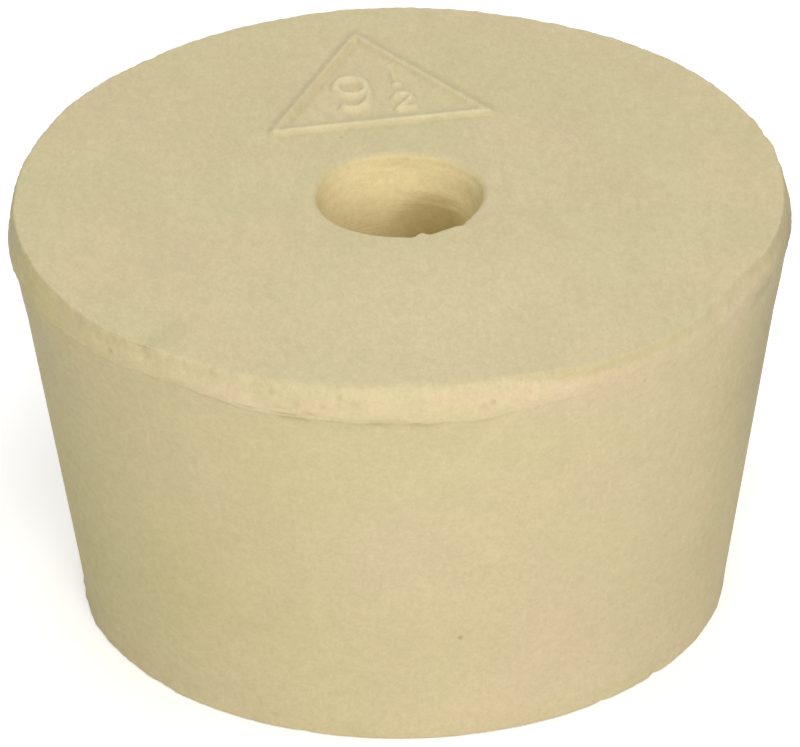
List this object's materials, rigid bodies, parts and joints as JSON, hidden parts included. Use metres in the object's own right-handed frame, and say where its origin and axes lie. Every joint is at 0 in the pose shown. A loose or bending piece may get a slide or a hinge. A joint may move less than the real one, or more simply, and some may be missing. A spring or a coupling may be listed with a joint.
{
  "type": "rubber stopper",
  "caption": "Tapered rubber stopper with one straight hole through its middle, a trimmed band round the wide end and a raised triangular size frame.",
  "frame": {"origin": "middle of the small end's face, where the hole's axis meets the surface that the stopper stands on", "axes": "+Z along the hole from the small end to the wide end, +Y from the hole towards the middle of the raised triangular frame"},
  "size_m": [0.046, 0.046, 0.0261],
  "materials": {
    "gum_rubber": "matt moulded gum rubber, pale yellow-cream, fine grained"
  },
  "bodies": {
    "root": {"stopper": "gum_rubber"}
  },
  "joints": []
}
